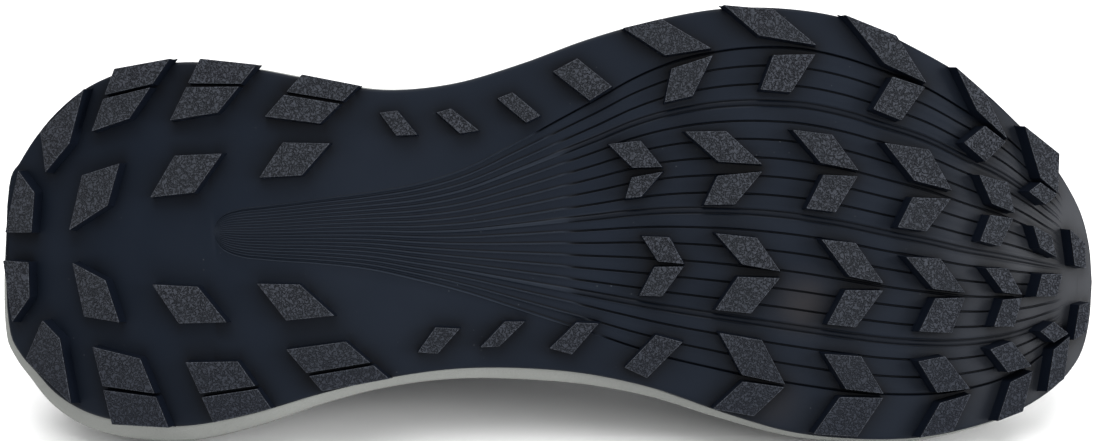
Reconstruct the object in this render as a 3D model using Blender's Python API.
"""Right trail running shoe, resting on its medial side.

It is modelled standing: X runs from heel to toe, Y to the medial side, Z up from the lug tops. The last
step lays the whole shoe down. Lengths are metres, and tables hold shares of the named sizes.
"""
import math
from collections import namedtuple

import bmesh
import bpy
import numpy as np
from mathutils import Matrix, Vector

for old in list(bpy.data.objects):
    bpy.data.objects.remove(old, do_unlink=True)

# Sizes
SOLE_LENGTH = 0.298
BALL_WIDTH = 0.117
TOE_SPRING = 0.018
LUG_DEPTH = 0.0045
LUG_SIZE = 0.011
LUG_DRAFT = 0.0009
LUG_ROOT = 0.0012
SIPE_WIDTH = 0.0011
WEB = 0.0025
HEEL_TUCK = 0.0015
TOE_OVERHANG = 0.0008
FOAM = 0.02
CUP_DEPTH = 0.01
FLARE = 0.008
SIDE_CUT = 0.0014
HEEL_INSET = 0.011
TOE_INSET = 0.008
INSTEP_HEIGHT = 0.071
RIB_LEAN = 0.011
WALL = 0.002
COLLAR_PAD = 0.0055
OVERLAY = 0.0008
STAY_WIDTH = 0.017
BROW = 0.002
TONGUE = 0.005
TONGUE_RISE = 0.005
INSOLE = 0.004
EYELET_PAIRS = 6
EYELET_RADIUS = 0.0042
EYELET_HOLE = 0.0022
EYELET_HEIGHT = 0.0009
LACE_WIDTH = 0.0052
LACE_THICK = 0.0014
LOOP_WIDTH = 0.014
LOOP_THICK = 0.0018
LOOP_RISE = 0.013
GAP = 0.0003
CLEAR = 1.5 * GAP

# The ring of points round the shoe: stations from heel to toe on each side
HALF = 30
RING = 2 * HALF

Edge = namedtuple("Edge", "along lateral medial")
SOLE_EDGE = [
    Edge(0.0, 0.03, 0.03),
    Edge(0.004, -0.148, 0.19),
    Edge(0.015, -0.2, 0.25),
    Edge(0.03, -0.255, 0.29),
    Edge(0.05, -0.311, 0.34),
    Edge(0.08, -0.369, 0.382),
    Edge(0.12, -0.409, 0.405),
    Edge(0.17, -0.426, 0.411),
    Edge(0.23, -0.411, 0.383),
    Edge(0.29, -0.383, 0.338),
    Edge(0.35, -0.362, 0.302),
    Edge(0.41, -0.377, 0.281),
    Edge(0.47, -0.422, 0.279),
    Edge(0.53, -0.478, 0.292),
    Edge(0.59, -0.521, 0.325),
    Edge(0.65, -0.548, 0.378),
    Edge(0.71, -0.548, 0.423),
    Edge(0.77, -0.521, 0.441),
    Edge(0.83, -0.454, 0.44),
    Edge(0.88, -0.381, 0.418),
    Edge(0.92, -0.296, 0.387),
    Edge(0.95, -0.221, 0.349),
    Edge(0.975, -0.139, 0.299),
    Edge(0.99, -0.068, 0.244),
    Edge(1.0, 0.085, 0.085),
]
LAST_EDGE = [
    Edge(0.0, 0.012, 0.012),
    Edge(0.01, -0.12, 0.14),
    Edge(0.04, -0.21, 0.222),
    Edge(0.08, -0.278, 0.278),
    Edge(0.14, -0.323, 0.308),
    Edge(0.21, -0.32, 0.3),
    Edge(0.27, -0.308, 0.274),
    Edge(0.335, -0.303, 0.253),
    Edge(0.4, -0.32, 0.236),
    Edge(0.465, -0.359, 0.231),
    Edge(0.53, -0.409, 0.243),
    Edge(0.59, -0.448, 0.268),
    Edge(0.65, -0.475, 0.313),
    Edge(0.71, -0.479, 0.352),
    Edge(0.77, -0.46, 0.373),
    Edge(0.83, -0.407, 0.374),
    Edge(0.88, -0.34, 0.357),
    Edge(0.925, -0.256, 0.325),
    Edge(0.96, -0.167, 0.27),
    Edge(0.985, -0.073, 0.209),
    Edge(1.0, 0.077, 0.077),
]

# Rocker of the tread as a share of the toe spring, foam under the foot, depth of the cup over it, and
# how far the foam stands out on each side, as shares of the foam, cup depth and flare
Stack = namedtuple("Stack", "along rocker foam cup out_lateral out_medial")
STACK_ROWS = [
    Stack(0.0, 0.5, 0.62, 1.19, 0.08, 0.4),
    Stack(0.06, 0.22, 0.83, 1.05, 0.08, 0.68),
    Stack(0.14, 0.04, 0.96, 1.0, 0.08, 0.7),
    Stack(0.2, 0.0, 0.985, 0.95, 0.08, 0.6),
    Stack(0.35, 0.045, 0.905, 0.86, 0.08, 0.36),
    Stack(0.45, 0.1, 0.785, 0.81, 0.08, 0.5),
    Stack(0.55, 0.05, 0.74, 0.76, 0.08, 0.46),
    Stack(0.62, 0.0, 0.7, 0.7, 0.08, 0.34),
    Stack(0.72, 0.0, 0.65, 0.62, 0.08, 0.22),
    Stack(0.8, 0.09, 0.61, 0.59, 0.08, 0.18),
    Stack(0.88, 0.31, 0.545, 0.68, 0.08, 0.16),
    Stack(0.95, 0.64, 0.435, 0.84, 0.08, 0.12),
    Stack(1.0, 1.0, 0.33, 1.0, 0.1, 0.1),
]

# Side wall of the foam from the web up: height share, share of the way out, share of the cut's depth and
# share of the way in
Band = namedtuple("Band", "height out cut inward")
SIDE_BANDS = [
    Band(0.0, 0.1, 0.0, 0.0),
    Band(0.12, 0.85, 0.0, 0.0),
    Band(0.34, 1.0, 0.0, 0.0),
    Band(0.38, 1.0, 1.0, 0.0),
    Band(0.46, 1.0, 1.0, 0.0),
    Band(0.5, 1.0, 0.1, 0.0),
    Band(0.72, 0.75, 0.5, 0.04),
    Band(0.76, 0.4, 1.2, 0.1),
    Band(0.94, 0.0, 0.6, 0.24),
    Band(1.0, 0.0, 0.0, 0.42),
]

# Opening of the upper and the curve of each rib, a row for each part of the way from heel to toe:
# place along the sole, middle and half width as shares of the ball width, height over the heel's
# footbed and the rib's two handles as shares of the instep, end slope in degrees, panel edge and pad
Rib = namedtuple("Rib", "along place middle half height out rise end slope panel pad")
RIBS = [
    Rib(0.0, 0.05, 0.012, 0.0, 1.0, 0.07, 0.37, 0.345, 83, 0.62, 1.0),
    Rib(0.1, 0.064, 0.01, 0.15, 0.972, 0.07, 0.37, 0.345, 83, 0.6, 1.0),
    Rib(0.17, 0.092, 0.005, 0.225, 0.903, 0.055, 0.345, 0.305, 80, 0.52, 1.0),
    Rib(0.24, 0.137, 0.0, 0.272, 0.765, 0.04, 0.275, 0.275, 76, 0.4, 1.0),
    Rib(0.3, 0.188, 0.002, 0.29, 0.703, 0.04, 0.25, 0.235, 74, 0.3, 1.0),
    Rib(0.37, 0.25, -0.002, 0.28, 0.752, 0.04, 0.275, 0.26, 70, 0.24, 0.9),
    Rib(0.42, 0.305, -0.014, 0.226, 0.89, 0.04, 0.315, 0.305, 64, 0.22, 0.6),
    Rib(0.46, 0.35, -0.026, 0.174, 0.993, 0.04, 0.345, 0.345, 58, 0.2, 0.2),
    Rib(0.53, 0.423, -0.036, 0.15, 0.924, 0.05, 0.345, 0.37, 50, 0.2, 0.0),
    Rib(0.63, 0.51, -0.042, 0.143, 0.793, 0.055, 0.33, 0.415, 42, 0.22, 0.0),
    Rib(0.73, 0.597, -0.04, 0.13, 0.676, 0.06, 0.36, 0.455, 31, 0.3, 0.0),
    Rib(0.8, 0.644, -0.037, 0.112, 0.62, 0.055, 0.37, 0.5, 22, 0.4, 0.0),
    Rib(0.87, 0.67, -0.035, 0.085, 0.586, 0.05, 0.38, 0.55, 16, 0.5, 0.0),
    Rib(0.94, 0.686, -0.034, 0.047, 0.569, 0.04, 0.38, 0.59, 13, 0.56, 0.0),
    Rib(1.0, 0.692, -0.034, 0.0, 0.561, 0.04, 0.37, 0.62, 12, 0.58, 0.0),
]

# Rows of the upper's grid: cup floor, cup rim, just over the rim, panels' edge, eyestay's edge, opening
FLOOR_ROW, RIM_ROW, BROW_ROW, PANEL_ROW, STAY_ROW, OPEN_ROW = 0, 1, 2, 4, 7, 9

# Chevron lugs: tip of the V along and across, its heading in degrees, and shares of the lug size
Chevron = namedtuple(
    "Chevron", "name x y heading chord_out chord_in wedge back_out reach_out far_out back_in reach_in far_in"
)
CHEVRONS = [
    Chevron("a1", 0.640, -0.445, -13, 1.12, 1.04, 0.35, 0.84, 0.88, 0.95, 0.35, 0.76, 0.70),
    Chevron("a2", 0.733, -0.450, 5, 1.41, 1.02, 0.44, 0.92, 0.66, 1.22, 0.24, 0.86, 0.75),
    Chevron("a3", 0.833, -0.371, 21, 1.14, 0.84, 0.22, 1.33, 0.75, 1.36, 0.17, 0.91, 0.75),
    Chevron("a4", 0.910, -0.246, 39, 1.07, 0.67, 0.16, 1.08, 0.48, 0.94, 0.16, 0.67, 0.73),
    Chevron("a5", 0.961, -0.124, 35, 0.61, 0.55, 0.09, 1.09, 0.80, 1.17, 0.13, 0.37, 0.57),
    Chevron("b1", 0.596, -0.178, -6, 0.72, 0.76, 0.23, 0.52, 0.63, 0.79, 0.21, 0.49, 0.39),
    Chevron("b2", 0.685, -0.181, -1, 1.06, 1.09, 0.34, 0.80, 0.74, 1.00, 0.34, 0.70, 0.75),
    Chevron("b3", 0.771, -0.169, 7, 0.94, 0.84, 0.28, 0.78, 0.71, 0.98, 0.31, 0.86, 0.72),
    Chevron("b4", 0.857, -0.121, 8, 0.97, 0.96, 0.41, 0.87, 0.80, 1.13, 0.27, 0.77, 0.73),
    Chevron("b5", 0.917, -0.073, 14, 0.63, 0.61, 0.28, 0.50, 0.61, 0.78, 0.10, 0.68, 0.55),
    Chevron("c1", 0.615, 0.040, 2, 0.63, 0.71, 0.13, 0.41, 0.60, 0.67, 0.34, 0.71, 0.55),
    Chevron("c2", 0.701, 0.062, 6, 0.94, 1.02, 0.31, 0.72, 0.68, 1.00, 0.46, 0.85, 0.87),
    Chevron("c3", 0.794, 0.090, 6, 0.86, 0.92, 0.34, 0.77, 0.82, 0.84, 0.36, 0.87, 0.71),
    Chevron("c4", 0.870, 0.110, 3, 0.82, 0.76, 0.23, 0.73, 0.75, 0.87, 0.36, 0.82, 0.83),
    Chevron("c5", 0.925, 0.114, 1, 0.49, 0.50, 0.17, 0.48, 0.60, 0.58, 0.23, 0.66, 0.53),
    Chevron("d1", 0.705, 0.314, 10, 1.06, 1.02, 0.15, 0.72, 0.91, 1.05, 0.60, 0.78, 1.01),
    Chevron("d2", 0.794, 0.338, 4, 0.93, 1.07, 0.20, 0.59, 0.82, 0.91, 0.58, 0.93, 1.08),
    Chevron("d3", 0.875, 0.331, -10, 0.84, 0.81, 0.26, 0.34, 0.84, 0.69, 0.65, 0.74, 0.86),
    Chevron("d4", 0.935, 0.282, -18, 0.64, 0.65, 0.25, 0.27, 0.69, 0.61, 0.62, 0.80, 0.71),
    Chevron("d5", 0.973, 0.206, -32, 0.46, 0.56, 0.15, 0.17, 0.44, 0.44, 0.71, 0.78, 0.57),
]

# Single lugs: four corners along and across the sole, and the place of the sipe that splits one
Block = namedtuple("Block", "name x1 y1 x2 y2 x3 y3 x4 y4 sipe")
BLOCKS = [
    Block("heel_rim", 0.0, -0.034, 0.013, -0.177, 0.029, -0.126, 0.026, -0.034, 0.0),
    Block("heel_2", 0.040, -0.172, 0.035, -0.266, 0.077, -0.363, 0.063, -0.238, 0.0),
    Block("heel_3", 0.084, -0.265, 0.105, -0.408, 0.156, -0.430, 0.119, -0.294, 0.55),
    Block("heel_4", 0.156, -0.289, 0.183, -0.430, 0.234, -0.416, 0.199, -0.307, 0.57),
    Block("heel_5", 0.241, -0.298, 0.274, -0.394, 0.325, -0.369, 0.290, -0.282, 0.55),
    Block("heel_6", 0.063, -0.039, 0.075, -0.165, 0.110, -0.192, 0.099, -0.096, 0.0),
    Block("heel_7", 0.138, -0.114, 0.160, -0.209, 0.203, -0.214, 0.178, -0.125, 0.0),
    Block("heel_8", 0.236, -0.159, 0.257, -0.239, 0.299, -0.237, 0.274, -0.164, 0.0),
    Block("heel_rim_medial", -0.002, 0.031, 0.007, 0.174, 0.024, 0.116, 0.023, 0.035, 0.0),
    Block("heel_2_medial", 0.037, 0.168, 0.020, 0.261, 0.065, 0.358, 0.054, 0.209, 0.0),
    Block("heel_3_medial", 0.085, 0.227, 0.103, 0.404, 0.155, 0.410, 0.129, 0.253, 0.53),
    Block("heel_4_medial", 0.170, 0.261, 0.195, 0.398, 0.247, 0.366, 0.217, 0.259, 0.55),
    Block("heel_5_medial", 0.260, 0.232, 0.292, 0.327, 0.352, 0.299, 0.313, 0.214, 0.6),
    Block("heel_6_medial", 0.066, 0.035, 0.077, 0.158, 0.110, 0.171, 0.097, 0.075, 0.0),
    Block("heel_7_medial", 0.140, 0.084, 0.164, 0.173, 0.207, 0.170, 0.181, 0.089, 0.0),
    Block("heel_8_medial", 0.234, 0.082, 0.260, 0.166, 0.303, 0.155, 0.272, 0.084, 0.0),
    Block("waist_1", 0.343, -0.307, 0.359, -0.312, 0.377, -0.257, 0.358, -0.255, 0.0),
    Block("waist_2", 0.394, -0.308, 0.407, -0.317, 0.432, -0.267, 0.415, -0.260, 0.0),
    Block("waist_3", 0.448, -0.340, 0.462, -0.354, 0.487, -0.301, 0.474, -0.285, 0.0),
    Block("waist_4", 0.498, -0.401, 0.520, -0.431, 0.551, -0.367, 0.531, -0.335, 0.0),
    Block("waist_1_medial", 0.377, 0.239, 0.393, 0.182, 0.415, 0.185, 0.395, 0.242, 0.0),
    Block("waist_2_medial", 0.433, 0.228, 0.455, 0.169, 0.473, 0.169, 0.450, 0.226, 0.0),
    Block("waist_3_medial", 0.495, 0.230, 0.519, 0.171, 0.539, 0.173, 0.515, 0.244, 0.0),
    Block("waist_4_medial", 0.562, 0.273, 0.590, 0.199, 0.614, 0.215, 0.582, 0.297, 0.0),
    Block("toe_1", 0.974, -0.041, 0.990, -0.008, 0.991, 0.051, 0.979, 0.044, 0.0),
    Block("toe_2", 0.984, 0.137, 0.995, 0.131, 0.991, 0.201, 0.978, 0.219, 0.0),
    Block("toe_3", 0.936, -0.050, 0.955, -0.026, 0.960, 0.025, 0.943, 0.002, 0.0),
    Block("toe_4", 0.945, 0.063, 0.966, 0.064, 0.960, 0.115, 0.939, 0.115, 0.0),
]

# Tongue tip above the throat: how far back and up from its last row, and its width share
Tip = namedtuple("Tip", "back up width")
TONGUE_TIP = [Tip(0.11, 0.08, 0.88), Tip(0.22, 0.165, 0.92), Tip(0.325, 0.25, 0.84), Tip(0.365, 0.285, 0.6)]


def smooth(rows, column, place):
    """Read a table's column between its rows, along a cubic with the rows' own slopes."""
    xs = np.array([row.along for row in rows])
    ys = np.array([getattr(row, column) for row in rows], float)
    if rows[0].__class__ is Edge:
        xs = np.arccos(1 - 2 * xs)
        place = math.acos(1 - 2 * place)
    slopes = np.gradient(ys, xs)
    i = int(np.clip(np.searchsorted(xs, place) - 1, 0, len(xs) - 2))
    h = xs[i + 1] - xs[i]
    t = (place - xs[i]) / h
    start = (1 + 2 * t) * (1 - t) ** 2 * ys[i] + t * (1 - t) ** 2 * h * slopes[i]
    end = t * t * (3 - 2 * t) * ys[i + 1] + t * t * (t - 1) * h * slopes[i + 1]
    return float(start + end)


def station(k):
    """Share of the way from heel to toe of a ring point, and its side: lateral -1, medial +1."""
    j = k if k <= HALF else RING - k
    return j / HALF, (-1 if k <= HALF else 1)


def edge_ring(rows, start, length):
    """Plan outline with a point at each station, closer together at heel and toe."""
    points = []
    for k in range(RING):
        share, side = station(k)
        along = (1 - math.cos(math.pi * share)) / 2
        across = smooth(rows, "lateral" if side < 0 else "medial", along)
        points.append((start + length * along, BALL_WIDTH * across))
    return np.array(points)


def outward(ring):
    """Plan direction that points out of the ring at each point."""
    run = np.roll(ring, -1, axis=0) - np.roll(ring, 1, axis=0)
    run /= np.linalg.norm(run, axis=1)[:, None]
    return np.column_stack([run[:, 1], -run[:, 0]])


def tread(x):
    """Height of the lug tops over the ground at a place along the sole."""
    return TOE_SPRING * smooth(STACK_ROWS, "rocker", min(max(x / SOLE_LENGTH, 0.0), 1.0))


def footbed(x):
    """Height of the cup's floor at a place along the sole."""
    foam = FOAM * smooth(STACK_ROWS, "foam", min(max(x / SOLE_LENGTH, 0.0), 1.0))
    return tread(x) + LUG_DEPTH + WEB + GAP + foam


def rim_height(x):
    """Height of the cup's rim at a place along the sole."""
    return footbed(x) + CUP_DEPTH * smooth(STACK_ROWS, "cup", min(max(x / SOLE_LENGTH, 0.0), 1.0))


def material(name, colour, roughness):
    made = bpy.data.materials.new(name)
    made.use_nodes = True
    shader = made.node_tree.nodes["Principled BSDF"]
    shader.inputs["Base Color"].default_value = (*colour, 1.0)
    shader.inputs["Roughness"].default_value = roughness
    made.diffuse_color = (*colour, 1.0)
    return made


def build(name, points, faces, finish):
    """Make an object from points and faces, its faces turned to point out."""
    mesh = bpy.data.meshes.new(name)
    bm = bmesh.new()
    corners = [bm.verts.new(tuple(p)) for p in points]
    for face in faces:
        bm.faces.new([corners[i] for i in face])
    bmesh.ops.recalc_face_normals(bm, faces=bm.faces)
    bmesh.ops.triangulate(bm, faces=bm.faces)
    bm.to_mesh(mesh)
    bm.free()
    mesh.materials.append(finish)
    made = bpy.data.objects.new(name, mesh)
    bpy.context.scene.collection.objects.link(made)
    return made


def strip(first, second, closed=True):
    """Faces between two rows of point numbers."""
    count = len(first)
    last = count if closed else count - 1
    return [
        (first[i], first[(i + 1) % count], second[(i + 1) % count], second[i]) for i in range(last)
    ]


def ladder(row):
    """Cap a ring of point numbers with rungs from the lateral to the medial side."""
    faces = [(row[0], row[1], row[RING - 1])]
    for j in range(1, HALF - 1):
        faces.append((row[j], row[j + 1], row[RING - j - 1], row[RING - j]))
    faces.append((row[HALF - 1], row[HALF], row[HALF + 1]))
    return faces


def rings_solid(name, rings, finish):
    """Solid through a stack of rings, capped at its first and last ring."""
    points = np.vstack(rings)
    rows = [list(range(i * RING, (i + 1) * RING)) for i in range(len(rings))]
    faces = ladder(rows[0]) + ladder(rows[-1])
    for low, high in zip(rows, rows[1:]):
        faces += strip(low, high)
    return build(name, points, faces, finish)


def with_height(ring, heights):
    return np.column_stack([ring, heights])


# Outlines in plan
sole = edge_ring(SOLE_EDGE, -HEEL_TUCK, SOLE_LENGTH + HEEL_TUCK + TOE_OVERHANG)
sole_out = outward(sole)
last = edge_ring(LAST_EDGE, HEEL_INSET, SOLE_LENGTH - HEEL_INSET - TOE_INSET)
last_out = outward(last)
tread_z = np.array([tread(x) for x in sole[:, 0]])
web_top = tread_z + LUG_DEPTH + WEB
floor_z = np.array([footbed(x) for x in last[:, 0]])
rim_z = np.array([rim_height(x) for x in last[:, 0]])
heel_bed = LUG_DEPTH + WEB + GAP + FOAM


def lug_points(corners):
    """Top and root of a lug: a flat top on the tread's slope, and a wider root sunk in the web."""
    corners = np.array(corners)
    middle = corners.mean(axis=0)
    step = LUG_SIZE / 2
    slope = (tread(middle[0] + step) - tread(middle[0] - step)) / (2 * step)
    top = [(x, y, tread(middle[0]) + slope * (x - middle[0])) for x, y in corners]
    root = []
    for i in range(len(corners)):
        before, here, after = corners[i - 1], corners[i], corners[(i + 1) % len(corners)]
        a = (here - before) / np.linalg.norm(here - before)
        b = (after - here) / np.linalg.norm(after - here)
        turn = a[0] * b[1] - a[1] * b[0]
        moved = here + LUG_DRAFT * (a - b) / max(abs(turn), 0.5)
        root.append((*moved, top[i][2] + LUG_DEPTH + LUG_ROOT))
    return top, root


def chevron_corners(lug):
    """The two arms of a V: the outer one and the inner one, four corners each."""
    angle = math.radians(lug.heading)
    ahead = np.array([math.cos(angle), math.sin(angle)]) * LUG_SIZE
    across = np.array([-ahead[1], ahead[0]])
    tip = np.array([lug.x * SOLE_LENGTH, lug.y * BALL_WIDTH])
    arms = []
    for side, chord, back, reach, far in (
        (-1, lug.chord_out, lug.back_out, lug.reach_out, lug.far_out),
        (1, lug.chord_in, lug.back_in, lug.reach_in, lug.far_in),
    ):
        nose = tip + across * side * lug.wedge * 0.25
        heel = nose - ahead * chord + across * side * lug.wedge * 0.25
        wing = heel - ahead * back + across * side * reach
        arms.append([nose, heel, wing, wing + ahead * far])
    return arms


def block_corners(lug):
    """A block whole, or as the two parts that a sipe leaves."""
    shares = [(lug.x1, lug.y1), (lug.x2, lug.y2), (lug.x3, lug.y3), (lug.x4, lug.y4)]
    inner_heel, outer_heel, outer_toe, inner_toe = [
        np.array([x * SOLE_LENGTH, y * BALL_WIDTH]) for x, y in shares
    ]
    if not lug.sipe:
        return [[inner_heel, outer_heel, outer_toe, inner_toe]]
    run = np.linalg.norm(outer_heel - inner_heel)
    half = SIPE_WIDTH / 2 / run
    cuts = []
    for share in (lug.sipe - half, lug.sipe + half):
        cuts.append(
            (inner_heel + (outer_heel - inner_heel) * share, inner_toe + (outer_toe - inner_toe) * share)
        )
    (heel_in, toe_in), (heel_out, toe_out) = cuts
    return [[inner_heel, heel_in, toe_in, inner_toe], [heel_out, outer_heel, outer_toe, toe_out]]


def make_outsole(finish):
    """Web with its lugs joined to it."""
    web = rings_solid(
        "outsole",
        [with_height(sole, tread_z + LUG_DEPTH), with_height(sole, web_top)],
        finish,
    )
    points = []
    faces = []
    quads = [arm for lug in CHEVRONS for arm in chevron_corners(lug)]
    quads += [quad for lug in BLOCKS for quad in block_corners(lug)]
    for corners in quads:
        area = sum(a[0] * b[1] - a[1] * b[0] for a, b in zip(corners, corners[1:] + corners[:1]))
        if area < 0:
            corners = corners[::-1]
        top, root = lug_points(corners)
        first = len(points)
        points += top + root
        faces += [tuple(first + i for i in range(4)), tuple(first + 4 + i for i in range(4))]
        faces += [(first + i, first + (i + 1) % 4, first + 4 + (i + 1) % 4, first + 4 + i) for i in range(4)]
    lugs = build("lug_blanks", points, faces, finish)
    lugs.hide_render = True
    lugs.display_type = "WIRE"
    join = web.modifiers.new("lugs", "BOOLEAN")
    join.operation = "UNION"
    join.solver = "EXACT"
    join.use_self = True
    join.object = lugs
    return web


def rib_values(k):
    """The table's values for one rib of the upper."""
    share, side = station(k)
    values = {name: smooth(RIBS, name, share) for name in Rib._fields[1:]}
    return Rib(share, **values), side


def rib_ends(k):
    rib, side = rib_values(k)
    foot = np.array([*last[k], floor_z[k] + GAP])
    across = (rib.middle + side * rib.half) * BALL_WIDTH
    mouth = np.array([rib.place * SOLE_LENGTH, across, heel_bed + rib.height * INSTEP_HEIGHT])
    return rib, foot, mouth


def rib_curve(k):
    """Cubic from the cup's floor to the opening, as a function of its share."""
    rib, foot, mouth = rib_ends(k)
    out = np.array([*last_out[k], 0.0])
    lean = mouth - foot
    lean[2] = 0.0
    inward = lean - out * RIB_LEAN
    inward /= np.linalg.norm(inward)
    slope = math.radians(rib.slope)
    rising = inward * math.cos(slope) + np.array([0.0, 0.0, math.sin(slope)])
    low = foot + out * rib.out * INSTEP_HEIGHT + np.array([0.0, 0.0, rib.rise * INSTEP_HEIGHT])
    high = mouth - rising * rib.end * INSTEP_HEIGHT

    def curve(t):
        s = 1 - t
        return foot * s**3 + low * 3 * s * s * t + high * 3 * s * t * t + mouth * t**3

    return curve, rib


def share_at_height(curve, height):
    """Share of the rib where it first reaches a height."""
    low, high = 0.0, 0.5
    for _ in range(40):
        mid = (low + high) / 2
        if curve(mid)[2] < height:
            low = mid
        else:
            high = mid
    return low


def upper_grid():
    """Outer face of the upper: a column of points for each rib, and the wall at each point."""
    grid = np.zeros((OPEN_ROW + 1, RING, 3))
    wall = np.full((OPEN_ROW + 1, RING), WALL)
    for k in range(RING):
        curve, rib = rib_curve(k)
        rim = share_at_height(curve, rim_z[k])
        run = np.linalg.norm(curve(1.0) - curve(0.6)) + np.linalg.norm(curve(0.6) - curve(rim))
        stay = 1 - STAY_WIDTH / run
        tops = {RIM_ROW: 0.0, BROW_ROW: BROW / run, PANEL_ROW: rib.panel, STAY_ROW: stay, OPEN_ROW: 1.0}
        known = sorted(tops)
        grid[FLOOR_ROW, k] = curve(0.0)
        for row in range(1, OPEN_ROW + 1):
            share = np.interp(row, known, [tops[i] for i in known])
            grid[row, k] = curve(rim + (1 - rim) * share)
            pad = np.interp(row, [PANEL_ROW, STAY_ROW, OPEN_ROW - 1, OPEN_ROW], [0, 1, 1, 0.6])
            wall[row, k] += COLLAR_PAD * rib.pad * pad
    return grid, wall


def grid_normals(grid):
    """Outward direction at each point of the upper."""
    along = np.roll(grid, -1, axis=1) - np.roll(grid, 1, axis=1)
    up = np.gradient(grid, axis=0)
    normals = np.cross(along, up)
    normals /= np.linalg.norm(normals, axis=2)[:, :, None]
    level = normals[FLOOR_ROW].copy()
    level[:, 2] = 0.0
    normals[FLOOR_ROW] = level / np.linalg.norm(level, axis=1)[:, None]
    return normals


outer, wall = upper_grid()
normals = grid_normals(outer)
inner = outer - normals * wall[:, :, None]


def patch_solid(name, low, high, rows, ribs, finish):
    """Solid between two copies of one patch of the upper's grid."""
    ribs = [k % RING for k in ribs]
    points = []
    for face in (low, high):
        for row in rows:
            points += [face[row, k] for k in ribs]
    wide = len(ribs)
    tall = len(rows)
    layer = wide * tall
    faces = []
    for base in (0, layer):
        for r in range(tall - 1):
            first = [base + r * wide + c for c in range(wide)]
            faces += strip(first, [i + wide for i in first], closed=False)
    rim = [c for c in range(wide)]
    rim += [r * wide + wide - 1 for r in range(1, tall)]
    rim += [(tall - 1) * wide + c for c in range(wide - 2, -1, -1)]
    rim += [r * wide for r in range(tall - 2, 0, -1)]
    faces += strip(rim, [i + layer for i in rim])
    return build(name, points, faces, finish)


def make_upper(finish):
    """Hollow shell, open at the collar and throat and underneath."""
    points = np.vstack([outer.reshape(-1, 3), inner.reshape(-1, 3)])
    layer = (OPEN_ROW + 1) * RING
    faces = []
    for base in (0, layer):
        for row in range(OPEN_ROW):
            first = [base + row * RING + k for k in range(RING)]
            faces += strip(first, [i + RING for i in first])
    for row in (FLOOR_ROW, OPEN_ROW):
        edge = [row * RING + k for k in range(RING)]
        faces += strip(edge, [i + layer for i in edge])
    return build("upper", points, faces, finish)


def overlay(name, rows, ribs, finish):
    """Panel laid on the upper's outer face, cut from the same grid."""
    low = outer + normals * GAP
    return patch_solid(name, low, low + normals * OVERLAY, rows, ribs, finish)


def make_midsole(finish):
    """Cup of foam: stepped side wall, rim, and a hollow that the upper stands in."""
    out_share = []
    for k in range(RING):
        side = station(k)[1]
        along = min(max(sole[k, 0] / SOLE_LENGTH, 0.0), 1.0)
        out_share.append(smooth(STACK_ROWS, "out_lateral" if side < 0 else "out_medial", along))
    proud = np.array(out_share)[:, None] * FLARE * sole_out
    inner_rim = outer[RIM_ROW] + normals[RIM_ROW] * GAP
    inner_rim[:, 2] = rim_z
    base = web_top + GAP
    rings = []
    for band in SIDE_BANDS:
        ring = sole + proud * band.out - sole_out * SIDE_CUT * band.cut
        ring = ring + (inner_rim[:, :2] - ring) * band.inward
        rings.append(with_height(ring, base + (rim_z - base) * band.height))
    cup_foot = outer[FLOOR_ROW] + normals[FLOOR_ROW] * GAP
    rings.append(inner_rim)
    rings.append(with_height(cup_foot[:, :2], floor_z))
    return rings_solid("midsole", rings, finish)


def make_insole(finish):
    """Footbed on the cup's floor, its edge following the upper's inner wall."""
    share = (INSOLE / (rim_z - floor_z))[:, None]
    foot = inner[FLOOR_ROW]
    brow = foot + (inner[RIM_ROW] - foot) * share
    rings = []
    for ring, height in ((foot, floor_z + GAP), (brow, floor_z + GAP + INSOLE)):
        plan = ring[:, :2] - outward(ring[:, :2]) * CLEAR
        rings.append(with_height(plan, height))
    return rings_solid("insole", rings, finish)


# First rib pair of the throat, the share of the tongue's thickness at its edges and at its two ends,
# and where its crown points stand across it
THROAT_TOP = 14
TONGUE_SIDE, TONGUE_END = 0.5, 0.6
CROWN_PLACES = (0.22, 0.5, 0.78)
RISE_ROWS = 4


def tongue_rows():
    """Upper face of the tongue: nine points across, a row for each pair of ribs, front to back."""
    under = inner - normals * CLEAR
    rows = []
    for j in range(HALF - 1, THROAT_TOP - 1, -1):
        left, right = j, RING - j
        edge_left, edge_right = under[OPEN_ROW, left], under[OPEN_ROW, right]
        middle = []
        for share in CROWN_PLACES:
            arch = 4 * share * (1 - share)
            point = edge_left + (edge_right - edge_left) * share
            lift = TONGUE_RISE * arch * min(1.0, (HALF - j) / RISE_ROWS)
            middle.append(point + np.array([0.0, 0.0, lift]))
        row = [under[OPEN_ROW - 1, left], edge_left, *middle, edge_right, under[OPEN_ROW - 1, right]]
        rows.append(row)
    last_row = np.array(rows[-1])
    centre = last_row.mean(axis=0)
    for tip in TONGUE_TIP:
        moved = last_row.copy()
        moved[:, 1] = centre[1] + (moved[:, 1] - centre[1]) * tip.width
        moved[:, 0] += -tip.back * INSTEP_HEIGHT
        moved[:, 2] += tip.up * INSTEP_HEIGHT
        flat = moved[len(moved) // 2, 2]
        moved[:, 2] = flat + (moved[:, 2] - flat) * tip.width
        rows.append(list(moved))
    front = [under[OPEN_ROW, HALF], under[OPEN_ROW - 1, HALF]]
    return np.array(rows), front


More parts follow.
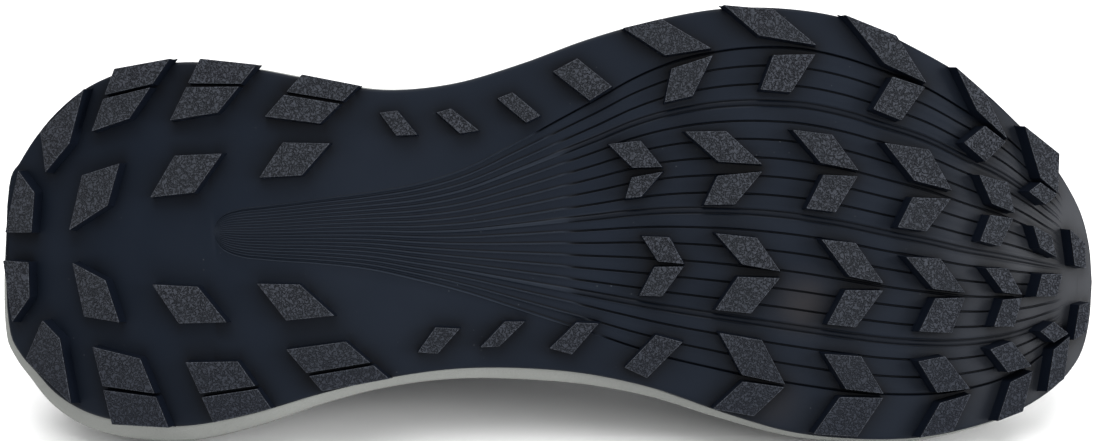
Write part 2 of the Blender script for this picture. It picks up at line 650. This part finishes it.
def make_tongue(finish):
    """Padded strip under the throat, arched between its edges."""
    rows, front = tongue_rows()
    tall, wide = rows.shape[:2]
    across = np.gradient(rows, axis=1)
    along = np.gradient(rows, axis=0)
    up = np.cross(across, along)
    up *= np.where(up[:, :, 2:3] < 0, -1, 1)
    up /= np.linalg.norm(up, axis=2)[:, :, None]
    thick = np.full((tall, wide, 1), TONGUE)
    thick[:, [0, -1]] *= TONGUE_SIDE
    thick[[0, -1]] *= TONGUE_END
    low = rows - up * thick
    points = list(rows.reshape(-1, 3)) + list(low.reshape(-1, 3))
    layer = tall * wide
    first_tip = len(points)
    points += [front[0], front[1]]
    points += [p - up[0, wide // 2] * TONGUE * TONGUE_END for p in front]
    faces = []
    for base, tip in ((0, first_tip), (layer, first_tip + 2)):
        for r in range(tall - 1):
            first = [base + r * wide + c for c in range(wide)]
            faces += strip(first, [i + wide for i in first], closed=False)
        faces.append((base, base + 1, tip, tip + 1))
        faces.append((base + wide - 2, base + wide - 1, tip + 1, tip))
        faces += [(base + c, base + c + 1, tip) for c in range(1, wide - 2)]
    rim = [r * wide for r in range(tall)]
    rim += [(tall - 1) * wide + c for c in range(1, wide)]
    rim += [r * wide + wide - 1 for r in range(tall - 2, -1, -1)]
    lower = [i + layer for i in rim]
    faces += strip(rim + [first_tip + 1], lower + [first_tip + 3])
    return build("tongue", points, faces, finish)


def place_frame(point, up, along):
    """Axes on a surface: the side direction, the direction along, and the surface's own up."""
    up = up / np.linalg.norm(up)
    side = np.cross(up, along)
    side /= np.linalg.norm(side)
    return point, side, np.cross(side, up), up


# Rib places of the first and last eyelet, counted from the heel, and the sides of an eyelet
EYELET_FIRST, EYELET_LAST = HALF - 5, THROAT_TOP + 0.7
EYELET_SIDES = 8


def eyelet_places():
    """Where each eyelet stands on the eyestay, lateral then medial, from the toe end."""
    lift = GAP * 2 + OVERLAY
    places = []
    for pair in range(EYELET_PAIRS):
        j = EYELET_FIRST - pair * (EYELET_FIRST - EYELET_LAST) / (EYELET_PAIRS - 1)
        low = int(j)
        part = j - low
        both = []
        for sign in (1, -1):
            a, b = (low, low + 1) if sign > 0 else (RING - low, RING - low - 1)
            row = OPEN_ROW - 1
            point = outer[row, a] * (1 - part) + outer[row, b] * part
            up = normals[row, a] * (1 - part) + normals[row, b] * part
            up /= np.linalg.norm(up)
            run = outer[row, b] - outer[row, a]
            both.append(place_frame(point + up * lift, up, run))
        places.append(both)
    return places


def make_eyelet(name, place, finish):
    point, side, along, up = place
    sides = EYELET_SIDES
    rings = []
    for radius, height in (
        (EYELET_RADIUS, 0.0),
        (EYELET_RADIUS, EYELET_HEIGHT),
        (EYELET_HOLE, EYELET_HEIGHT),
        (EYELET_HOLE, 0.0),
    ):
        for i in range(sides):
            turn = 2 * math.pi * i / sides
            rings.append(point + (side * math.cos(turn) + along * math.sin(turn)) * radius + up * height)
    rows = [[r * sides + i for i in range(sides)] for r in range(4)]
    faces = []
    for r in range(4):
        faces += strip(rows[r], rows[(r + 1) % 4])
    return build(name, rings, faces, finish)


def ribbon(name, middles, ups, width, thick, finish):
    """Flat band along a few points, each with its own up direction."""
    points = []
    count = len(middles)
    for i, (point, up) in enumerate(zip(middles, ups)):
        run = middles[min(i + 1, count - 1)] - middles[max(i - 1, 0)]
        side = np.cross(run, up)
        side *= width / 2 / np.linalg.norm(side)
        up = up / np.linalg.norm(up) * thick
        points += [point - side, point + side, point + side + up, point - side + up]
    faces = [(0, 1, 2, 3), tuple((count - 1) * 4 + i for i in range(4))]
    for i in range(count - 1):
        faces += strip([i * 4 + c for c in range(4)], [i * 4 + 4 + c for c in range(4)])
    return build(name, points, faces, finish)


# Lace: how far it lies flat at an eyelet on each side of the hole, as shares of the eyelet's radius, how
# fast it turns to level, and the thickness shares of the two bands where they cross
LACE_TAIL, LACE_FLAT, LACE_TURN = 0.48, 1.6, 0.3
UNDER, OVER = 0.94, 0.97


def lace_path(start, end, crown):
    """Middles and ups of a lace from eyelet to eyelet, over the crown of the tongue."""
    lift = EYELET_HEIGHT + GAP
    over = np.array([0.0, 0.0, 1.0])
    points = []
    for point, _, _, up in (start, end):
        stop = point + up * lift
        run = crown - stop
        run -= up * run.dot(up)
        run *= EYELET_RADIUS / np.linalg.norm(run)
        points += [stop - run * LACE_TAIL, stop + run * LACE_FLAT]
    a, knee_a, b, knee_b = points
    turned = [place[3] + over * LACE_TURN for place in (start, end)]
    return [a, knee_a, crown, knee_b, b], [start[3], turned[0], over, turned[1], end[3]]


def make_lace(places, finish):
    """One bar at the toe end, then a crossing between each two pairs of eyelets, all joined."""
    rows, _ = tongue_rows()
    ridge = rows[:, rows.shape[1] // 2]

    def crown(x):
        order = np.argsort(ridge[:, 0])
        z = np.interp(x, ridge[order, 0], ridge[order, 2])
        y = np.interp(x, ridge[order, 0], ridge[order, 1])
        return np.array([x, y, z + LACE_THICK + 4 * GAP])

    left, right = places[0]
    path, ups = lace_path(left, right, crown((left[0][0] + right[0][0]) / 2))
    lace = ribbon("lace", path, ups, LACE_WIDTH, LACE_THICK, finish)
    for i in range(EYELET_PAIRS - 1):
        (l0, r0), (l1, r1) = places[i], places[i + 1]
        top = crown((l0[0][0] + r0[0][0] + l1[0][0] + r1[0][0]) / 4)
        for start, end, thick in ((l0, r1, OVER), (r0, l1, UNDER)):
            path, ups = lace_path(start, end, top)
            blank = ribbon(f"lace_blank_{i + 1}", path, ups, LACE_WIDTH, LACE_THICK * thick, finish)
            blank.hide_render = True
            blank.display_type = "WIRE"
            join = lace.modifiers.new("crossing", "BOOLEAN")
            join.operation = "UNION"
            join.solver = "EXACT"
            join.object = blank
    return lace


# Bend of the pull loop's two legs, as a share of its rise, and its middle's distance from the hollow
# inner face of the heel, which leaves its straight edges clear
LOOP_BEND = 0.2
LOOP_STAND = 0.0014


def make_pull_loop(finish):
    """Webbing loop that stands at the back of the collar."""
    up = np.array([0.0, 0.0, 1.0])
    back = np.array([-1.0, 0.0, 0.0])
    outside = [outer[row, 0] + normals[row, 0] * GAP for row in (STAY_ROW, OPEN_ROW)]
    inside = [inner[row, 0] - normals[row, 0] * LOOP_STAND for row in (OPEN_ROW, OPEN_ROW - 1)]
    crown = (outside[1] + inside[0]) / 2 + up * LOOP_RISE
    middles = [
        outside[0],
        outside[1],
        (outside[1] + crown) / 2 + back * LOOP_RISE * LOOP_BEND,
        crown,
        (inside[0] + crown) / 2 - back * LOOP_RISE * LOOP_BEND,
        inside[0],
        inside[1],
    ]
    ups = [back, back, back + up * 0.5, up, up * 0.5 - back, -back, -back]
    return ribbon("pull_loop", middles, ups, LOOP_WIDTH, LOOP_THICK, finish)


rubber = material("rubber", (0.018, 0.022, 0.030), 0.5)
foam = material("foam", (0.30, 0.33, 0.31), 0.7)
mesh_cloth = material("mesh_cloth", (0.025, 0.03, 0.04), 0.85)
film = material("film", (0.012, 0.013, 0.016), 0.45)
lining = material("lining", (0.03, 0.032, 0.036), 0.9)
cord = material("cord", (0.02, 0.022, 0.026), 0.8)
ring_plastic = material("ring_plastic", (0.05, 0.05, 0.055), 0.5)

# Ribs where the toe cap starts, the heel counter ends and the eyestay starts, counted from the heel
TOE_CAP_RIB, COUNTER_RIB, STAY_RIB = 22, 10, THROAT_TOP - 1
low_panel = range(BROW_ROW, PANEL_ROW + 1)

make_outsole(rubber)
sole_cup = make_midsole(foam)
shell = make_upper(mesh_cloth)
overlay("toe_cap", low_panel, range(TOE_CAP_RIB, RING - TOE_CAP_RIB + 1), film)
overlay("heel_counter", low_panel, range(-COUNTER_RIB, COUNTER_RIB + 1), film)
overlay("eyestay", range(STAY_ROW, OPEN_ROW + 1), range(STAY_RIB, RING - STAY_RIB + 1), film)
make_tongue(lining)
make_insole(lining)
eyelets = eyelet_places()
for number, pair in enumerate(eyelets, 1):
    for side_name, place in zip(("lateral", "medial"), pair):
        make_eyelet(f"eyelet_{side_name}_{number}", place, ring_plastic)
make_lace(eyelets, cord)
make_pull_loop(cord)


# A facet of the hull counts as medial when its normal's share along Y is at least this
MEDIAL_FACING = 0.8


def resting_turn(objects):
    """Way down for the shoe at rest: out of the medial facet of its hull that is nearest its middle."""
    hull = bmesh.new()
    for thing in objects:
        for vertex in thing.data.vertices:
            hull.verts.new(vertex.co)
    bmesh.ops.convex_hull(hull, input=hull.verts)
    middle = Vector((SOLE_LENGTH / 2, 0.0, heel_bed))
    best = None
    for face in hull.faces:
        normal = face.normal
        if normal.y < MEDIAL_FACING:
            continue
        reach = normal.dot(face.verts[0].co - middle)
        if best is None or reach < best[0]:
            best = (reach, normal.copy())
    hull.free()
    return best[1]


def lay_down(objects):
    """Put the side that the shoe lies on under it, the toe to +X and the tread to -Y."""
    down = resting_turn([sole_cup, shell])
    up_row = -down
    x_row = Vector((1.0, 0.0, 0.0))
    x_row = (x_row - up_row * x_row.dot(up_row)).normalized()
    y_row = up_row.cross(x_row)
    turn = Matrix((x_row, y_row, up_row)).to_4x4()
    corners = [turn @ v.co for thing in objects for v in thing.data.vertices]
    low = Vector([min(c[i] for c in corners) for i in range(3)])
    high = Vector([max(c[i] for c in corners) for i in range(3)])
    shift = Vector(((low.x + high.x) / 2, (low.y + high.y) / 2, low.z))
    stand = bpy.data.objects.new("shoe", None)
    bpy.context.scene.collection.objects.link(stand)
    stand.matrix_world = Matrix.Translation(-shift) @ turn
    return stand


solids = [thing for thing in bpy.context.scene.objects if thing.type == "MESH"]
shoe = lay_down(solids)
for thing in solids:
    thing.parent = shoe
